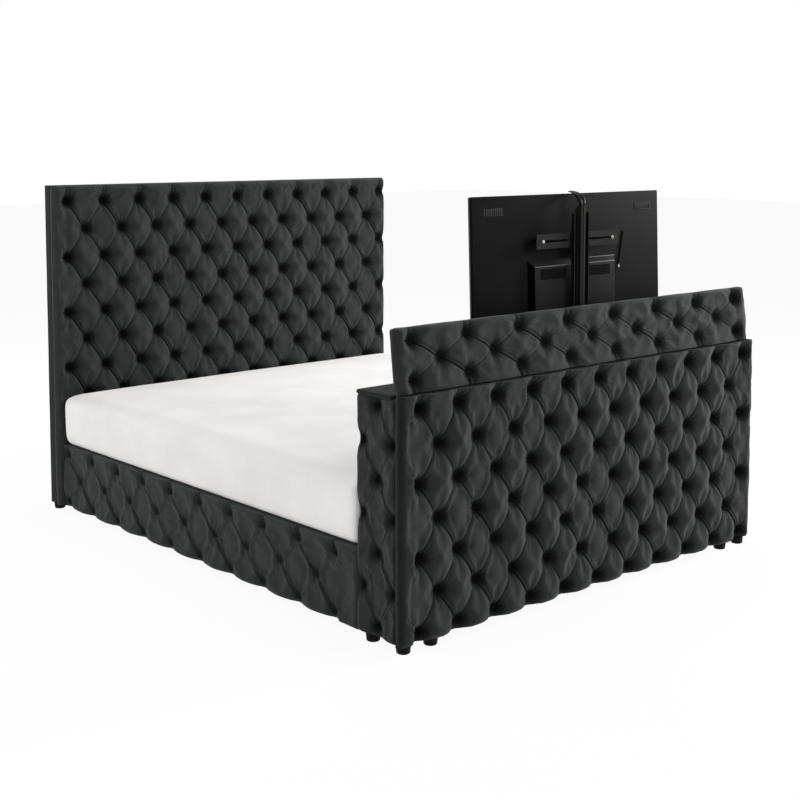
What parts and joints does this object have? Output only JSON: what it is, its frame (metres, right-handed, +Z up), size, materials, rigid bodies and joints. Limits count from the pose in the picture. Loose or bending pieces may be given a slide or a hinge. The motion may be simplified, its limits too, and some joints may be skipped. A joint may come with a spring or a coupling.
{
  "type": "tv bed",
  "caption": "Upholstered king-size bed with diamond-tufted headboard and side rails, and a footboard cabinet whose lift raises a television behind a padded flap.",
  "frame": {"origin": "on the floor under the middle of the bed's bounding box", "axes": "+Z up, +Y from the footboard cabinet to the headboard, +X across the bed, to the right of someone who stands at the foot and looks at the headboard"},
  "size_m": [2.014, 2.544, 1.556],
  "materials": {
    "velvet": "deep-pile charcoal velvet, matt with a soft sheen at grazing angles",
    "ticking": "plain off-white knitted ticking",
    "plywood": "plain plywood under the upholstery",
    "timber": "sawn pine",
    "beech": "laminated beech, satin",
    "zinc_steel": "zinc plated",
    "black_steel": "black powder coat, satin",
    "black_plastic": "moulded black plastic",
    "black_gloss": "polished black",
    "nylon": "white nylon",
    "tv_plastic": "fine-grained black plastic",
    "screen": "dark glossy screen"
  },
  "bodies": {
    "bed_frame": {"headboard_pad": "velvet", "headboard_board": "plywood", "headboard_post_left": "velvet", "headboard_post_right": "velvet", "headboard_top_rail": "velvet", "headboard_back_cover": "velvet", "headboard_foot_left": "black_plastic", "headboard_foot_right": "black_plastic", "side_rail_left": "timber", "side_rail_right": "timber", "rail_pad_left": "velvet", "rail_pad_right": "velvet", "slat_ledge_left": "timber", "slat_ledge_right": "timber", "rail_bracket_left_foot": "zinc_steel", "rail_bracket_left_head": "zinc_steel", "rail_bracket_right_foot": "zinc_steel", "rail_bracket_right_head": "zinc_steel", "centre_beam": "timber", "beam_leg_foot": "black_plastic", "beam_leg_head": "black_plastic", "slat_roll_left": "beech", "slat_roll_right": "beech", "mattress": "ticking", "front_pad": "velvet", "cabinet_front_board": "plywood", "cabinet_back_board": "velvet", "cabinet_floor": "plywood", "cabinet_side_left": "velvet", "cabinet_side_right": "velvet", "side_pad_left": "velvet", "side_pad_right": "velvet", "cabinet_divider_left": "plywood", "cabinet_divider_right": "plywood", "cabinet_top_left": "velvet", "cabinet_top_right": "velvet", "cabinet_foot_left_front": "black_plastic", "cabinet_foot_left_inner": "black_plastic", "cabinet_foot_left_rear": "black_plastic", "cabinet_foot_right_front": "black_plastic", "cabinet_foot_right_inner": "black_plastic", "cabinet_foot_right_rear": "black_plastic", "lift_base_plate": "zinc_steel", "lift_column": "black_steel", "lift_motor": "black_plastic", "actuator_tube": "zinc_steel", "lid_hinge_fixed_leaf": "zinc_steel"},
    "tv_carriage": {"lift_mast": "black_steel", "mast_slider": "nylon", "actuator_rod": "zinc_steel", "lid_guide": "black_gloss", "crossbar_upper": "black_steel", "crossbar_lower": "black_steel", "tv_rear_cover": "tv_plastic", "tv_electronics_cover": "tv_plastic", "tv_screen": "screen"},
    "flip_lid": {"lid_board": "plywood", "lid_pad": "velvet", "lid_hinge_flap_leaf": "zinc_steel", "lid_hinge_pin": "zinc_steel"}
  },
  "joints": [
    {"name": "tv_lift", "type": "slide", "parent": "bed_frame", "child": "tv_carriage", "axis": [0, 0, 1], "range_m": [-0.69, 0]},
    {"name": "lid_hinge", "type": "hinge", "parent": "bed_frame", "child": "flip_lid", "pos_m": [0, -1.19535, 0.8905], "axis": [1, 0, 0], "range_deg": [0, 6.5]}
  ]
}
